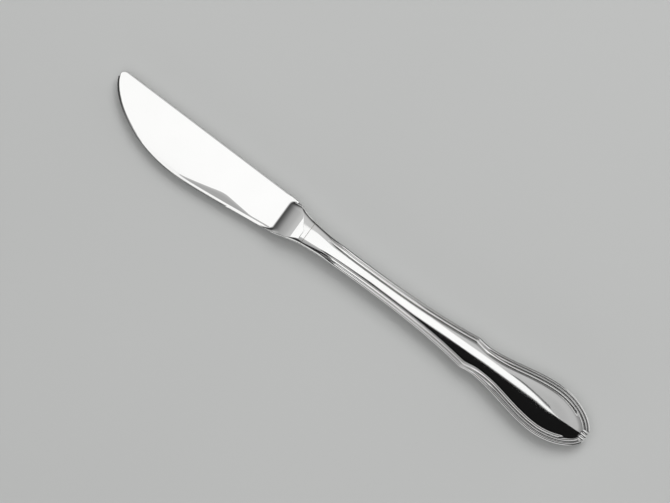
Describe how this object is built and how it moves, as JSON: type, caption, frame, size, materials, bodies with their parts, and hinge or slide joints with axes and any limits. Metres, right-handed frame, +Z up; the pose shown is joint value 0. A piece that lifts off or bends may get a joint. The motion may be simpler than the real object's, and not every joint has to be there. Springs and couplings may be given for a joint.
{
  "type": "table knife",
  "caption": "Polished steel table knife with a round-bellied forged blade, a bolster, and a slim hollow handle that widens to a threaded, rounded butt.",
  "frame": {"origin": "on the table under the middle of the knife's bounding box, the knife lying on its side", "axes": "+X along the handle's axis from the blade's point to the butt, +Y from the cutting edge to the spine, +Z up out of the front of the handle"},
  "size_m": [0.22, 0.0224, 0.0087],
  "materials": {
    "polished_blade_steel": "mirror polished stainless blade steel",
    "polished_handle_steel": "mirror polished stainless sheet steel",
    "silver_braze": "silver braze, ground flush and polished",
    "handle_cement": "cast handle cement, hidden inside the handle"
  },
  "bodies": {
    "root": {"blade": "polished_blade_steel", "handle_front_shell": "polished_handle_steel", "handle_back_shell": "polished_handle_steel", "shell_braze_seam": "silver_braze", "neck_braze_ring": "silver_braze", "tang_cement": "handle_cement"}
  },
  "joints": []
}
